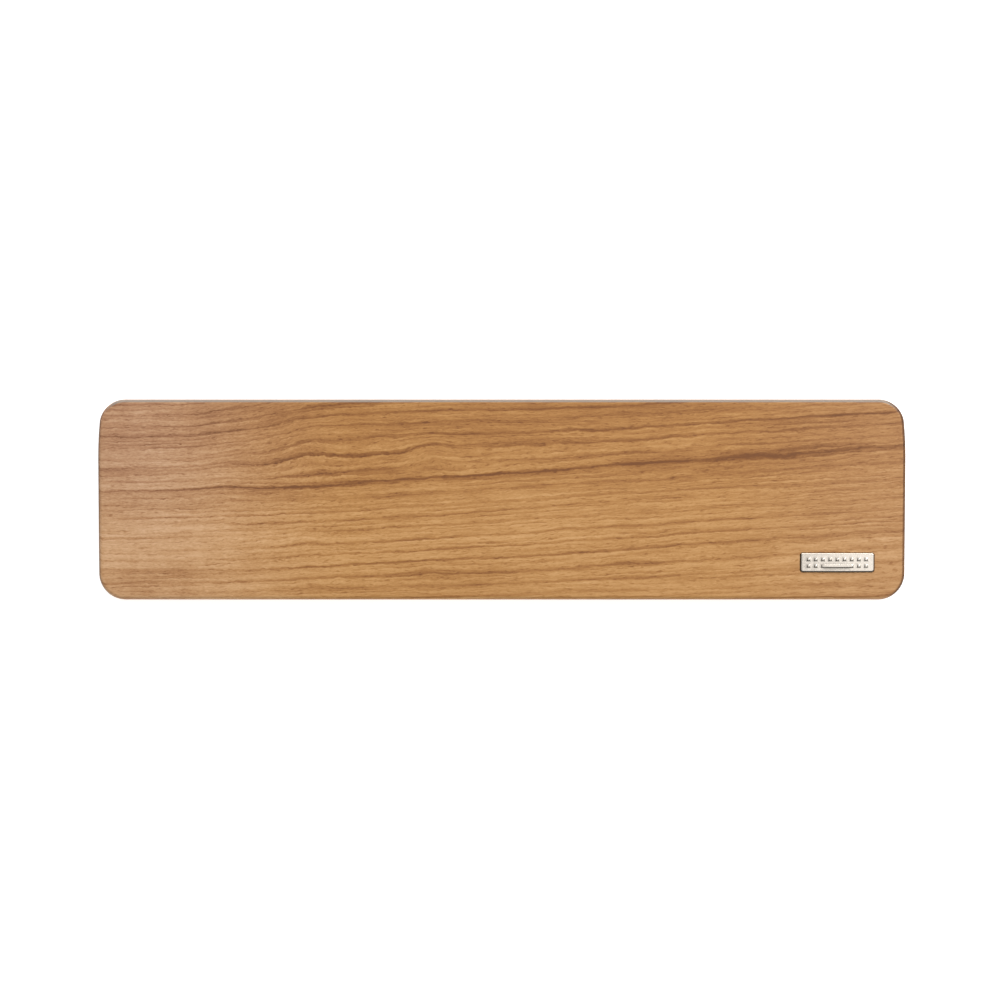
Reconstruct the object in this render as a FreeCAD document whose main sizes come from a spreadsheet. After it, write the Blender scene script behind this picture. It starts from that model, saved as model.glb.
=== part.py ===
import FreeCAD, Part

# A wooden wrist rest that lies on the desk in front of a compact keyboard: one wedge of solid
# timber with a gently crowned top, a cast metal badge let into its front right corner, and six
# rubber feet in counterbores underneath. The badge and the feet are held by adhesive film.
#
# Frame: +X along the rest to the user's right, +Y away from the user towards the keyboard, +Z up.
# The origin is on the desk, below the middle of the rest. Millimetres and degrees throughout.

import math
import os

import Sketcher
from FreeCAD import Vector

OUT_FOLDER = "parts"

SIZES = {
    # the timber board; both heights are of the timber alone, without the feet
    "board_length": 320.0,
    "board_depth": 79.5,
    "rear_height": 15.9,
    "front_height": 9.4,
    "crown_radius": 1300.0,
    "front_corner": 10.5,
    "rear_corner": 9.0,
    "side_draw_radius": 160.0,
    "side_draw_length": 24.0,
    "top_round": 1.6,
    "base_round": 0.8,
    # the badge and the recess it sits in; its place is measured to the badge's middle
    "badge_place_x": 133.1,
    "badge_place_y": -24.9,
    "badge_length": 29.4,
    "badge_width": 7.7,
    "badge_thick": 1.2,
    "badge_corner": 1.0,
    "badge_round": 0.35,
    "badge_recess": 0.6,
    "badge_clearance": 0.15,
    "film_thick": 0.12,
    "film_inset": 0.5,
    # the raised keys cast on the badge: an upper row, and a long bar between two pairs below
    "key_size": 1.6,
    "key_corner": 0.35,
    "key_raise": 0.25,
    "key_pitch": 2.85,
    "key_row_offset": 1.3,
    "key_row_count": 9,
    "end_key_count": 2,
    "bar_length": 13.0,
    # feet, the discs that hold them, and their counterbores
    "foot_radius": 6.0,
    "foot_height": 1.9,
    "foot_round": 0.5,
    "disc_radius": 5.7,
    "disc_thick": 0.2,
    "bore_radius": 6.25,
    "bore_depth": 0.8,
    "foot_pitch_x": 140.0,
    "foot_pitch_y": 54.0,
    "foot_columns": 3,
    "foot_rows": 2,
}

# Formulas over the sheet, for the places that follow from more than one size.
FOOT_STAND = "(Sizes.foot_height + Sizes.disc_thick - Sizes.bore_depth)"
CHORD_TILT = "atan((Sizes.rear_height - Sizes.front_height) / Sizes.board_depth)"
CROWN_DROP = f"sqrt(Sizes.crown_radius ^ 2 - (Sizes.board_depth / 2 / cos({CHORD_TILT})) ^ 2)"
BADGE_TILT = f"asin(({CROWN_DROP} * sin({CHORD_TILT}) - Sizes.badge_place_y) / Sizes.crown_radius)"
CROWN_MIDDLE = f"((Sizes.rear_height + Sizes.front_height) / 2 - {CROWN_DROP} * cos({CHORD_TILT}))"
BADGE_SURFACE = f"({CROWN_MIDDLE} + Sizes.crown_radius * cos({BADGE_TILT}))"

CLEAR_OF_TIMBER = 5.0  # how far a cut runs past the timber it removes
SAME_PLACE = 0.01  # points nearer than this are the same point

FOOT_PLACES = {  # name: (column, row), counted in pitches from the middle
    "front_left": (-1, -1),
    "front_centre": (0, -1),
    "front_right": (1, -1),
    "rear_left": (-1, 1),
    "rear_centre": (0, 1),
    "rear_right": (1, 1),
}


def make_sheet(doc):
    """Write every driving size into the document's spreadsheet under its own alias."""
    sheet = doc.addObject("Spreadsheet::Sheet", "Sizes")
    for row, (alias, value) in enumerate(SIZES.items(), start=1):
        sheet.set(f"A{row}", alias)
        sheet.set(f"B{row}", str(value))
        sheet.setAlias(f"B{row}", alias)
    doc.recompute()


def origin_feature(body, role):
    """Return one of the body's own origin planes or axes, such as XY_Plane."""
    return next(item for item in body.Origin.OriginFeatures if item.Role == role)


def new_body(doc, label):
    """Add an empty body whose label names the sub-part."""
    body = doc.addObject("PartDesign::Body", label)
    body.Label = label
    return body


def new_sketch(body, name, plane="XY_Plane", offset=None):
    """Attach a sketch to one of the body's planes, moved by expressions such as Base.x."""
    sketch = body.newObject("Sketcher::SketchObject", name)
    sketch.AttachmentSupport = [(origin_feature(body, plane), "")]
    sketch.MapMode = "FlatFace"
    for axis, formula in (offset or {}).items():
        sketch.setExpression(f"AttachmentOffset.{axis}", formula)
    return sketch


def dimension(sketch, name, formula, *constraint):
    """Add a named dimension to the sketch and bind it to the sheet."""
    index = sketch.addConstraint(Sketcher.Constraint(*constraint))
    sketch.renameConstraint(index, name)
    sketch.setExpression(f"Constraints.{name}", formula)


def corner_arc(centre_x, centre_y, radius, start, end):
    """Return an arc about a centre between two angles in degrees, anticlockwise."""
    circle = Part.Circle(Vector(centre_x, centre_y, 0), Vector(0, 0, 1), radius)
    return Part.ArcOfCircle(circle, math.radians(start), math.radians(end))


def closed_loop(sketch, pieces):
    """Add the pieces end to start, each running smoothly into the next."""
    for piece in pieces:
        sketch.addGeometry(piece, False)
    for index in range(len(pieces)):
        after = (index + 1) % len(pieces)
        sketch.addConstraint(Sketcher.Constraint("Tangent", index, 2, after, 1))


def straight(x_start, y_start, x_end, y_end):
    """Return a straight stretch of an outline."""
    return Part.LineSegment(Vector(x_start, y_start, 0), Vector(x_end, y_end, 0))


def draw_board_outline(sketch):
    """Draw the board's plan: round corners, and sides that draw in a little towards the rear."""
    half_length = SIZES["board_length"] / 2
    half_depth = SIZES["board_depth"] / 2
    front = SIZES["front_corner"]
    rear = SIZES["rear_corner"]
    draw = SIZES["side_draw_radius"]
    draw_start = half_depth - SIZES["side_draw_length"]
    sweep = math.degrees(math.asin((SIZES["side_draw_length"] - rear) / (draw - rear)))
    draw_in = (draw - rear) * (1 - math.cos(math.radians(sweep)))
    corner_x = half_length - rear - draw_in
    corner_y = half_depth - rear
    closed_loop(sketch, [
        straight(front - half_length, -half_depth, half_length - front, -half_depth),
        corner_arc(half_length - front, front - half_depth, front, -90, 0),
        straight(half_length, front - half_depth, half_length, draw_start),
        corner_arc(half_length - draw, draw_start, draw, 0, sweep),
        corner_arc(corner_x, corner_y, rear, sweep, 90),
        straight(corner_x, half_depth, -corner_x, half_depth),
        corner_arc(-corner_x, corner_y, rear, 90, 180 - sweep),
        corner_arc(draw - half_length, draw_start, draw, 180 - sweep, 180),
        straight(-half_length, draw_start, -half_length, front - half_depth),
        corner_arc(front - half_length, front - half_depth, front, 180, 270),
    ])
    front_edge, right_side, rear_edge, left_side = 0, 2, 5, 8
    for edge in (front_edge, rear_edge):
        sketch.addConstraint(Sketcher.Constraint("Horizontal", edge))
    for edge in (right_side, left_side):
        sketch.addConstraint(Sketcher.Constraint("Vertical", edge))
    for name, index, alias in (
        ("front_right", 1, "front_corner"),
        ("front_left", 9, "front_corner"),
        ("rear_right", 4, "rear_corner"),
        ("rear_left", 6, "rear_corner"),
        ("draw_right", 3, "side_draw_radius"),
        ("draw_left", 7, "side_draw_radius"),
    ):
        dimension(sketch, name, f"Sizes.{alias}", "Radius", index, SIZES[alias])
    half_x, half_y = "Sizes.board_length / 2", "Sizes.board_depth / 2"
    dimension(sketch, "to_right", half_x, "DistanceX", -1, 1, right_side, 1, half_length)
    dimension(sketch, "to_left", half_x, "DistanceX", left_side, 1, -1, 1, half_length)
    dimension(sketch, "to_rear", half_y, "DistanceY", -1, 1, rear_edge, 1, half_depth)
    dimension(sketch, "to_front", half_y, "DistanceY", front_edge, 1, -1, 1, half_depth)
    length = SIZES["side_draw_length"]
    formula = "Sizes.side_draw_length"
    dimension(sketch, "draw_right_length", formula, "DistanceY", right_side, 2, rear_edge, 1, length)
    dimension(sketch, "draw_left_length", formula, "DistanceY", left_side, 1, rear_edge, 2, length)


def draw_crown(sketch):
    """Draw, in the side view, the waste above the crowned slope from the front to the rear."""
    half_depth = SIZES["board_depth"] / 2
    front_z, rear_z = SIZES["front_height"], SIZES["rear_height"]
    radius = SIZES["crown_radius"]
    outer = half_depth + CLEAR_OF_TIMBER
    top = rear_z + 2 * CLEAR_OF_TIMBER
    tilt = math.atan2(rear_z - front_z, 2 * half_depth)
    half_chord = half_depth / math.cos(tilt)
    drop = math.sqrt(radius ** 2 - half_chord ** 2)
    half_sweep = math.degrees(math.asin(half_chord / radius))
    middle = 90 + math.degrees(tilt)
    centre_y = drop * math.sin(tilt)
    centre_z = (front_z + rear_z) / 2 - drop * math.cos(tilt)
    crown = corner_arc(centre_y, centre_z, radius, middle - half_sweep, middle + half_sweep)
    sketch.addGeometry(crown, False)
    corners = [(-half_depth, front_z), (-outer, front_z), (-outer, top), (outer, top),
               (outer, rear_z), (half_depth, rear_z)]
    for start, end in zip(corners, corners[1:]):
        sketch.addGeometry(straight(*start, *end), False)
    for index in range(len(corners)):
        after = (index + 1) % len(corners)
        sketch.addConstraint(Sketcher.Constraint("Coincident", index, 2, after, 1))
    for edge in (1, 3, 5):
        sketch.addConstraint(Sketcher.Constraint("Horizontal", edge))
    for edge in (2, 4):
        sketch.addConstraint(Sketcher.Constraint("Vertical", edge))
    half_y = "Sizes.board_depth / 2"
    dimension(sketch, "crown", "Sizes.crown_radius", "Radius", 0, radius)
    dimension(sketch, "to_front", half_y, "DistanceX", 0, 2, -1, 1, half_depth)
    dimension(sketch, "to_rear", half_y, "DistanceX", -1, 1, 0, 1, half_depth)
    dimension(sketch, "front_top", "Sizes.front_height", "DistanceY", -1, 1, 0, 2, front_z)
    dimension(sketch, "rear_top", "Sizes.rear_height", "DistanceY", -1, 1, 0, 1, rear_z)
    for name, edge in (("past_front", 1), ("past_rear", 5)):
        sketch.renameConstraint(
            sketch.addConstraint(Sketcher.Constraint("Distance", edge, CLEAR_OF_TIMBER)), name)
    above = f"Sizes.rear_height + {2 * CLEAR_OF_TIMBER}"
    dimension(sketch, "waste_top", above, "DistanceY", -1, 1, 3, 1, top)


def draw_rounded_rectangle(sketch, length, width, corner):
    """Draw a rectangle with round corners about the sketch's origin; each size is a formula."""
    values = [evaluate(sketch, formula) for formula in (length, width, corner)]
    x, y, radius = values[0] / 2, values[1] / 2, values[2]
    closed_loop(sketch, [
        straight(radius - x, -y, x - radius, -y),
        corner_arc(x - radius, radius - y, radius, -90, 0),
        straight(x, radius - y, x, y - radius),
        corner_arc(x - radius, y - radius, radius, 0, 90),
        straight(x - radius, y, radius - x, y),
        corner_arc(radius - x, y - radius, radius, 90, 180),
        straight(-x, y - radius, -x, radius - y),
        corner_arc(radius - x, radius - y, radius, 180, 270),
    ])
    for edge in (0, 4):
        sketch.addConstraint(Sketcher.Constraint("Horizontal", edge))
    for edge in (2, 6):
        sketch.addConstraint(Sketcher.Constraint("Vertical", edge))
    for arc in (3, 5, 7):
        sketch.addConstraint(Sketcher.Constraint("Equal", 1, arc))
    dimension(sketch, "corner", corner, "Radius", 1, radius)
    dimension(sketch, "to_right", f"({length}) / 2", "DistanceX", -1, 1, 2, 1, x)
    dimension(sketch, "to_left", f"({length}) / 2", "DistanceX", 6, 1, -1, 1, x)
    dimension(sketch, "to_back", f"({width}) / 2", "DistanceY", -1, 1, 4, 1, y)
    dimension(sketch, "to_front", f"({width}) / 2", "DistanceY", 0, 1, -1, 1, y)


def evaluate(sketch, formula):
    """Return a formula's present value as a plain number."""
    value = sketch.evalExpression(formula)
    return float(getattr(value, "Value", value))


def draw_circle(sketch, radius_alias):
    """Draw a circle about the sketch's origin."""
    radius = SIZES[radius_alias]
    sketch.addGeometry(Part.Circle(Vector(0, 0, 0), Vector(0, 0, 1), radius), False)
    sketch.addConstraint(Sketcher.Constraint("Coincident", 0, 3, -1, 1))
    dimension(sketch, "round", f"Sizes.{radius_alias}", "Radius", 0, radius)


def raise_pad(body, name, sketch, height):
    """Pad a sketch upwards by a formula's height."""
    pad = body.newObject("PartDesign::Pad", name)
    pad.Profile = sketch
    pad.setExpression("Length", height)
    body.Document.recompute()
    return pad


def cut_pocket(body, name, sketch, depth, both_ways=False):
    """Cut a sketch into the body towards +Z, or both ways, and prove that timber went."""
    before = body.Shape.Volume
    pocket = body.newObject("PartDesign::Pocket", name)
    pocket.Profile = sketch
    pocket.setExpression("Length", depth)
    pocket.Reversed = not both_ways
    pocket.SideType = "Symmetric" if both_ways else "One side"
    body.Document.recompute()
    if not pocket.Shape.Volume < before:
        raise RuntimeError(f"{name} cuts nothing")
    return pocket


def round_edges(body, name, base, radius_alias, wanted):
    """Round the edges of a feature that the test picks."""
    names = [f"Edge{i}" for i, edge in enumerate(base.Shape.Edges, start=1) if wanted(edge)]
    fillet = body.newObject("PartDesign::Fillet", name)
    fillet.Base = (base, names)
    fillet.setExpression("Radius", f"Sizes.{radius_alias}")
    body.Document.recompute()
    return fillet


def repeat(body, name, feature, **settings):
    """Repeat a feature in rows along the body's X, and along its Y where that is set too."""
    pattern = body.newObject("PartDesign::LinearPattern", name)
    pattern.Originals = [feature]
    pattern.Direction = (origin_feature(body, "X_Axis"), [""])
    if "Occurrences2" in settings:
        pattern.Direction2 = (origin_feature(body, "Y_Axis"), [""])
    for prop, formula in settings.items():
        pattern.setExpression(prop, formula)
    body.Tip = pattern
    body.Document.recompute()
    return pattern


def at_height(z):
    """Return a test for edges that lie level at a height."""
    return lambda edge: all(abs(v.Z - z) < SAME_PLACE for v in edge.Vertexes)


def around_face(shape, is_face):
    """Return a test for edges that bound the faces which is_face picks."""
    bounds = [edge for face in shape.Faces if is_face(face) for edge in face.Edges]
    return lambda edge: any(edge.isSame(bound) for bound in bounds)


def is_crown(face):
    """Tell whether a face is the crowned top."""
    surface = face.Surface
    return isinstance(surface, Part.Cylinder) and surface.Radius > SIZES["crown_radius"] / 2


def badge_seat(below_surface, stand=""):
    """Return the place, as expressions, on the badge's axis at a depth under the crown."""
    return {
        "Base.x": "Sizes.badge_place_x",
        "Base.y": f"Sizes.badge_place_y + ({below_surface}) * sin({BADGE_TILT})",
        "Base.z": f"{BADGE_SURFACE} - ({below_surface}) * cos({BADGE_TILT}){stand}",
        "Rotation.Angle": BADGE_TILT,
    }


def place(item, prop, expressions):
    """Bind a placement property, turned about +X, to expressions."""
    setattr(item, prop, FreeCAD.Placement(Vector(), FreeCAD.Rotation(Vector(1, 0, 0), 1)))
    for field, formula in expressions.items():
        item.setExpression(f"{prop}.{field}", formula)


def make_board(doc):
    """The timber: a crowned wedge, its edges rounded, recessed for the badge and the feet."""
    body = new_body(doc, "wooden_board")
    body.setExpression("Placement.Base.z", FOOT_STAND)
    outline = new_sketch(body, "BoardOutline")
    draw_board_outline(outline)
    blank = raise_pad(body, "Blank", outline, f"Sizes.rear_height + {CLEAR_OF_TIMBER}")
    crown = new_sketch(body, "CrownWaste", "YZ_Plane")
    draw_crown(crown)
    body.Tip = blank
    wedge = cut_pocket(body, "Crown", crown, f"Sizes.board_length + {2 * CLEAR_OF_TIMBER}",
                       both_ways=True)
    top = round_edges(body, "TopRound", wedge, "top_round", around_face(wedge.Shape, is_crown))
    base = round_edges(body, "BaseRound", top, "base_round", at_height(0.0))
    body.Tip = base
    recess = new_sketch(body, "BadgeRecessOutline")
    place(recess, "AttachmentOffset", badge_seat("Sizes.badge_recess"))
    draw_rounded_rectangle(recess, "Sizes.badge_length + 2 * Sizes.badge_clearance",
                           "Sizes.badge_width + 2 * Sizes.badge_clearance",
                           "Sizes.badge_corner + Sizes.badge_clearance")
    doc.recompute()
    cut_pocket(body, "BadgeRecess", recess, f"Sizes.badge_recess + {CLEAR_OF_TIMBER}")
    bore = new_sketch(body, "FootBoreOutline",
                      offset={"Base.x": "-Sizes.foot_pitch_x", "Base.y": "-Sizes.foot_pitch_y / 2"})
    draw_circle(bore, "bore_radius")
    doc.recompute()
    first = cut_pocket(body, "FootBore", bore, "Sizes.bore_depth")
    repeat(body, "FootBores", first, Length="(Sizes.foot_columns - 1) * Sizes.foot_pitch_x",
           Occurrences="Sizes.foot_columns", Length2="(Sizes.foot_rows - 1) * Sizes.foot_pitch_y",
           Occurrences2="Sizes.foot_rows")
    return body


def make_badge_film(doc):
    """The adhesive film between the floor of the recess and the badge."""
    body = new_body(doc, "badge_adhesive_film")
    place(body, "Placement", badge_seat("Sizes.badge_recess", f" + {FOOT_STAND}"))
    outline = new_sketch(body, "FilmOutline")
    draw_rounded_rectangle(outline, "Sizes.badge_length - 2 * Sizes.film_inset",
                           "Sizes.badge_width - 2 * Sizes.film_inset", "Sizes.film_inset")
    raise_pad(body, "Film", outline, "Sizes.film_thick")
    return body


def make_badge(doc):
    """The cast badge: a thin plate with rounded edges and a small raised keyboard on it."""
    body = new_body(doc, "badge_plate")
    depth = "Sizes.badge_recess - Sizes.film_thick"
    place(body, "Placement", badge_seat(depth, f" + {FOOT_STAND}"))
    outline = new_sketch(body, "BadgeOutline")
    draw_rounded_rectangle(outline, "Sizes.badge_length", "Sizes.badge_width", "Sizes.badge_corner")
    plate = raise_pad(body, "Plate", outline, "Sizes.badge_thick")
    body.Tip = round_edges(body, "PlateRound", plate, "badge_round",
                           at_height(SIZES["badge_thick"]))
    half_row = "(Sizes.key_row_count - 1) / 2 * Sizes.key_pitch"
    rows = {
        "UpperKeys": (f"-{half_row}", "Sizes.key_row_offset", "Sizes.key_row_count"),
        "LowerLeftKeys": (f"-{half_row}", "-Sizes.key_row_offset", "Sizes.end_key_count"),
        "LowerRightKeys": (f"{half_row} - (Sizes.end_key_count - 1) * Sizes.key_pitch",
                           "-Sizes.key_row_offset", "Sizes.end_key_count"),
    }
    for name, (first_x, row_y, count) in rows.items():
        key = raise_key(body, name, first_x, row_y, "Sizes.key_size")
        repeat(body, name, key, Length=f"({count} - 1) * Sizes.key_pitch", Occurrences=count)
    raise_key(body, "SpaceBar", "0", "-Sizes.key_row_offset", "Sizes.bar_length")
    return body


def raise_key(body, name, x, y, length):
    """Raise one key of the motif on the badge's face."""
    sketch = new_sketch(body, f"{name}Outline",
                        offset={"Base.x": x, "Base.y": y, "Base.z": "Sizes.badge_thick"})
    draw_rounded_rectangle(sketch, length, "Sizes.key_size", "Sizes.key_corner")
    pad = raise_pad(body, f"{name}Raise", sketch, "Sizes.key_raise")
    body.Tip = pad
    return pad


def foot_place(column, row, height):
    """Return a foot's place, as expressions, from its column and row."""
    return {
        "Base.x": f"{column} * Sizes.foot_pitch_x",
        "Base.y": f"{row} * Sizes.foot_pitch_y / 2",
        "Base.z": height,
    }


def make_foot(doc, name, column, row):
    """A round rubber foot, rounded where it meets the desk."""
    body = new_body(doc, f"foot_{name}")
    place(body, "Placement", {**foot_place(column, row, "0"), "Rotation.Angle": "0"})
    outline = new_sketch(body, "FootOutline")
    draw_circle(outline, "foot_radius")
    pad = raise_pad(body, "Foot", outline, "Sizes.foot_height")
    body.Tip = round_edges(body, "FootRound", pad, "foot_round", at_height(0.0))
    return body


def make_foot_disc(doc, name, column, row):
    """The adhesive disc between a foot and the floor of its counterbore."""
    body = new_body(doc, f"foot_adhesive_{name}")
    place(body, "Placement", {**foot_place(column, row, "Sizes.foot_height"), "Rotation.Angle": "0"})
    outline = new_sketch(body, "DiscOutline")
    draw_circle(outline, "disc_radius")
    raise_pad(body, "Disc", outline, "Sizes.disc_thick")
    return body


def check(doc, bodies):
    """Stop if any feature failed or any sub-part is not one valid solid."""
    doc.recompute()
    for item in doc.Objects:
        if "Invalid" in item.State or "Error" in item.State:
            raise RuntimeError(f"{item.Label} failed: {item.State}")
    for body in bodies:
        shape = body.Shape
        if shape.isNull() or not shape.isValid() or len(shape.Solids) != 1:
            raise RuntimeError(f"{body.Label} is not one valid solid")


def main():
    """Build the document, check it and write one STEP file for each sub-part."""
    os.makedirs(OUT_FOLDER, exist_ok=True)
    doc = FreeCAD.newDocument("WristRest")
    make_sheet(doc)
    bodies = [make_board(doc), make_badge_film(doc), make_badge(doc)]
    for name, (column, row) in FOOT_PLACES.items():
        bodies.append(make_foot(doc, name, column, row))
        bodies.append(make_foot_disc(doc, name, column, row))
    check(doc, bodies)
    for body in bodies:
        body.Shape.exportStep(os.path.join(OUT_FOLDER, f"{body.Label}.step"))
        box = body.Shape.BoundBox
        print(f"{body.Label}: {body.Shape.Volume:.1f} mm3, z {box.ZMin:.2f} to {box.ZMax:.2f}")


main()
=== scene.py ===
"""The visible model of a wooden keyboard wrist rest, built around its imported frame.

Everything is in metres and in the part's own frame: +X along the rest to the user's right, +Y away from
the user towards the keyboard, +Z up, and the origin on the desk below the middle of the rest.
"""
from __future__ import annotations

import logging
import math
from dataclasses import dataclass, field
from enum import Enum
from functools import cache
from typing import Callable, Iterator, Sequence

import bmesh
import bpy
from mathutils import Matrix, Vector


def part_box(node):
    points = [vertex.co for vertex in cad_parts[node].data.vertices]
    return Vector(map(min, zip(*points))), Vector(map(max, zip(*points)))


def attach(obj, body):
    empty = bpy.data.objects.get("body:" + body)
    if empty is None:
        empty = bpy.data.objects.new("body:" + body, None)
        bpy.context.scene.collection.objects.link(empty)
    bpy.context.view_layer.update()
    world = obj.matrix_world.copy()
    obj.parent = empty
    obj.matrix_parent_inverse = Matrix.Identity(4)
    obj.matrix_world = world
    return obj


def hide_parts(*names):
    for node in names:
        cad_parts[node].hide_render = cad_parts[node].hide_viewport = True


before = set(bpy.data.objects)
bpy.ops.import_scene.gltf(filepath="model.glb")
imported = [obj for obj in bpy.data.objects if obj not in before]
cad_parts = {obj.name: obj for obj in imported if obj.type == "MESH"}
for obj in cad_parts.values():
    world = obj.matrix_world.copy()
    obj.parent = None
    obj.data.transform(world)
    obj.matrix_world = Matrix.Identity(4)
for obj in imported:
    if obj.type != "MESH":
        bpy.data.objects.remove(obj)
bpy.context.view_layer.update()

MM = 0.001
ROOT_BODY = "root"
SAME_PLACE = 0.02 * MM
ROUNDING = 1e-9
FACING = 0.9  # a unit normal's part along the axis that its face looks along
SIDEWAYS = 0.1  # and its part along an axis that its face stands beside
CREASE = 0.3  # radians between two faces that meet at a marked edge

log = logging.getLogger("wrist_rest")

Colour = tuple[float, float, float, float]


# --- Shader recipes ---


class Wire:
    """A node's output on which Python arithmetic adds Math nodes."""

    def __init__(self, bench: Bench, socket: bpy.types.NodeSocket) -> None:
        """Wrap a socket.

        Args:
            bench: the recipe that the socket belongs to.
            socket: the output socket.
        """
        self.bench = bench
        self.socket = socket

    def math(self, operation: str, *others: Wire | float) -> Wire:
        """Add a Math node whose first value is this wire.

        Args:
            operation: the Math node's operation.
            others: its further values.

        Returns:
            The node's result.
        """
        return self.bench.math(operation, self, *others)

    def __add__(self, other: Wire | float) -> Wire:
        """Return self + other."""
        return self.math("ADD", other)

    def __radd__(self, other: float) -> Wire:
        """Return other + self."""
        return self.math("ADD", other)

    def __sub__(self, other: Wire | float) -> Wire:
        """Return self - other."""
        return self.math("SUBTRACT", other)

    def __rsub__(self, other: float) -> Wire:
        """Return other - self."""
        return self.bench.math("SUBTRACT", other, self)

    def __mul__(self, other: Wire | float) -> Wire:
        """Return self * other."""
        return self.math("MULTIPLY", other)

    def __rmul__(self, other: float) -> Wire:
        """Return other * self."""
        return self.math("MULTIPLY", other)

    def __truediv__(self, other: Wire | float) -> Wire:
        """Return self / other."""
        return self.math("DIVIDE", other)

    def __abs__(self) -> Wire:
        """Return the size of self without its sign."""
        return self.math("ABSOLUTE")

    def exp(self) -> Wire:
        """Return e to the power of self."""
        return self.math("EXPONENT")

    def over(self, start: float, end: float, low: float = 0.0, high: float = 1.0) -> Wire:
        """Pass smoothly from one value to another while self goes from start to end.

        Args:
            start: the value of self where the change starts.
            end: the value of self where it ends; it may be below start.
            low: the result before the change.
            high: the result after it.

        Returns:
            The changing value.
        """
        if end < start:
            start, end, low, high = end, start, high, low
        settings = {"interpolation_type": "SMOOTHSTEP"}
        sockets = {"Value": self, "From Min": start, "From Max": end, "To Min": low, "To Max": high}
        return self.bench.node("ShaderNodeMapRange", settings, sockets)


class Bench:
    """The node tree of one material, with the few calls that its recipes use."""

    def __init__(self, tree: bpy.types.NodeTree, shader: str = "BSDF_PRINCIPLED") -> None:
        """Take a node tree that has its shader and output already.

        Args:
            tree: the tree of a material or of the world.
            shader: the type of its shader node.
        """
        self.tree = tree
        self.shader = next(n for n in tree.nodes if n.type == shader)

    def node(self, kind: str, settings: dict | None = None, sockets: dict | None = None,
             output: int | str = 0) -> Wire:
        """Add a node.

        Args:
            kind: the node's type.
            settings: its properties, set first; "stops" are a colour ramp's positions and colours.
            sockets: values or wires by input name or number.
            output: which output to return.

        Returns:
            That output.
        """
        made = self.tree.nodes.new(kind)
        for name, value in (settings or {}).items():
            if name == "stops":
                self._set_stops(made.color_ramp, value)
            else:
                setattr(made, name, value)
        for key, value in (sockets or {}).items():
            self._feed(made.inputs[key], value)
        return Wire(self, made.outputs[output])

    def _feed(self, target: bpy.types.NodeSocket, value: object) -> None:
        """Link a wire to an input, or set the input's value.

        Args:
            target: the input.
            value: the wire, or the value.
        """
        if isinstance(value, Wire):
            self.tree.links.new(value.socket, target)
        else:
            target.default_value = value

    @staticmethod
    def _set_stops(ramp: bpy.types.ColorRamp, stops: Sequence[tuple[float, Colour]]) -> None:
        """Give a colour ramp its stops, in order.

        Args:
            ramp: the ramp.
            stops: their positions and colours.
        """
        while len(ramp.elements) < len(stops):
            ramp.elements.new(1.0)
        for element, (position, colour) in zip(ramp.elements, stops):
            element.position = position
            element.color = colour

    def math(self, operation: str, *values: Wire | float) -> Wire:
        """Add a Math node on values or wires."""
        return self.node("ShaderNodeMath", {"operation": operation}, dict(enumerate(values)))

    def place_mm(self) -> tuple[Wire, Wire, Wire]:
        """Look up the point that is shaded.

        Returns:
            Its X, Y and Z in the part's frame, in millimetres.
        """
        place = self.node("ShaderNodeTexCoord", output="Object")
        scaled = self.node("ShaderNodeVectorMath", {"operation": "SCALE"}, {0: place, "Scale": 1 / MM})
        return self.split(scaled)

    def facing(self) -> tuple[Wire, Wire, Wire]:
        """Return the X, Y and Z of the surface's own normal."""
        return self.split(self.node("ShaderNodeTexCoord", output="Normal"))

    def split(self, vector: Wire) -> tuple[Wire, Wire, Wire]:
        """Return a vector's three parts."""
        made = self.node("ShaderNodeSeparateXYZ", sockets={0: vector}).socket.node
        return tuple(Wire(self, made.outputs[axis]) for axis in "XYZ")

    def join(self, x: Wire | float, y: Wire | float, z: Wire | float) -> Wire:
        """Return a vector made of three parts."""
        return self.node("ShaderNodeCombineXYZ", sockets={"X": x, "Y": y, "Z": z})

    def noise(self, place: Wire, detail: float = 2.0, roughness: float = 0.5) -> Wire:
        """Return smooth noise about zero, within about a half each way.

        Args:
            place: the point to look up, one unit for each lump of noise.
            detail: how many finer layers there are.
            roughness: how strong the finer layers are.

        Returns:
            The noise.
        """
        sockets = {"Vector": place, "Scale": 1.0, "Detail": detail, "Roughness": roughness}
        return self.node("ShaderNodeTexNoise", sockets=sockets) - 0.5

    def ramp(self, factor: Wire, stops: Sequence[tuple[float, Colour]]) -> Wire:
        """Return the colour of a ramp."""
        return self.node("ShaderNodeValToRGB", {"stops": stops}, {"Fac": factor})

    def blend(self, factor: Wire | float, first: Wire | Colour, second: Wire | Colour) -> Wire:
        """Return a mix of two colours."""
        sockets = {0: factor, 6: first, 7: second}
        return self.node("ShaderNodeMix", {"data_type": "RGBA"}, sockets, 2)

    def tint(self, colour: Wire, share: tuple[float, float, float]) -> Wire:
        """Return a colour with each of its parts scaled down to a share."""
        return self.node("ShaderNodeVectorMath", {"operation": "MULTIPLY"}, {0: colour, 1: share})

    def relief(self, height: Wire, depth: float) -> None:
        """Let a height, from nought to one, stand out of the surface by a depth in metres."""
        sockets = {"Height": height, "Distance": depth, "Strength": 1.0}
        self.surface(Normal=self.node("ShaderNodeBump", sockets=sockets))

    def surface(self, **values: object) -> None:
        """Feed the shader's inputs, whose names have underscores for spaces here."""
        for name, value in values.items():
            self._feed(self.shader.inputs[name.replace("_", " ")], value)


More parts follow.
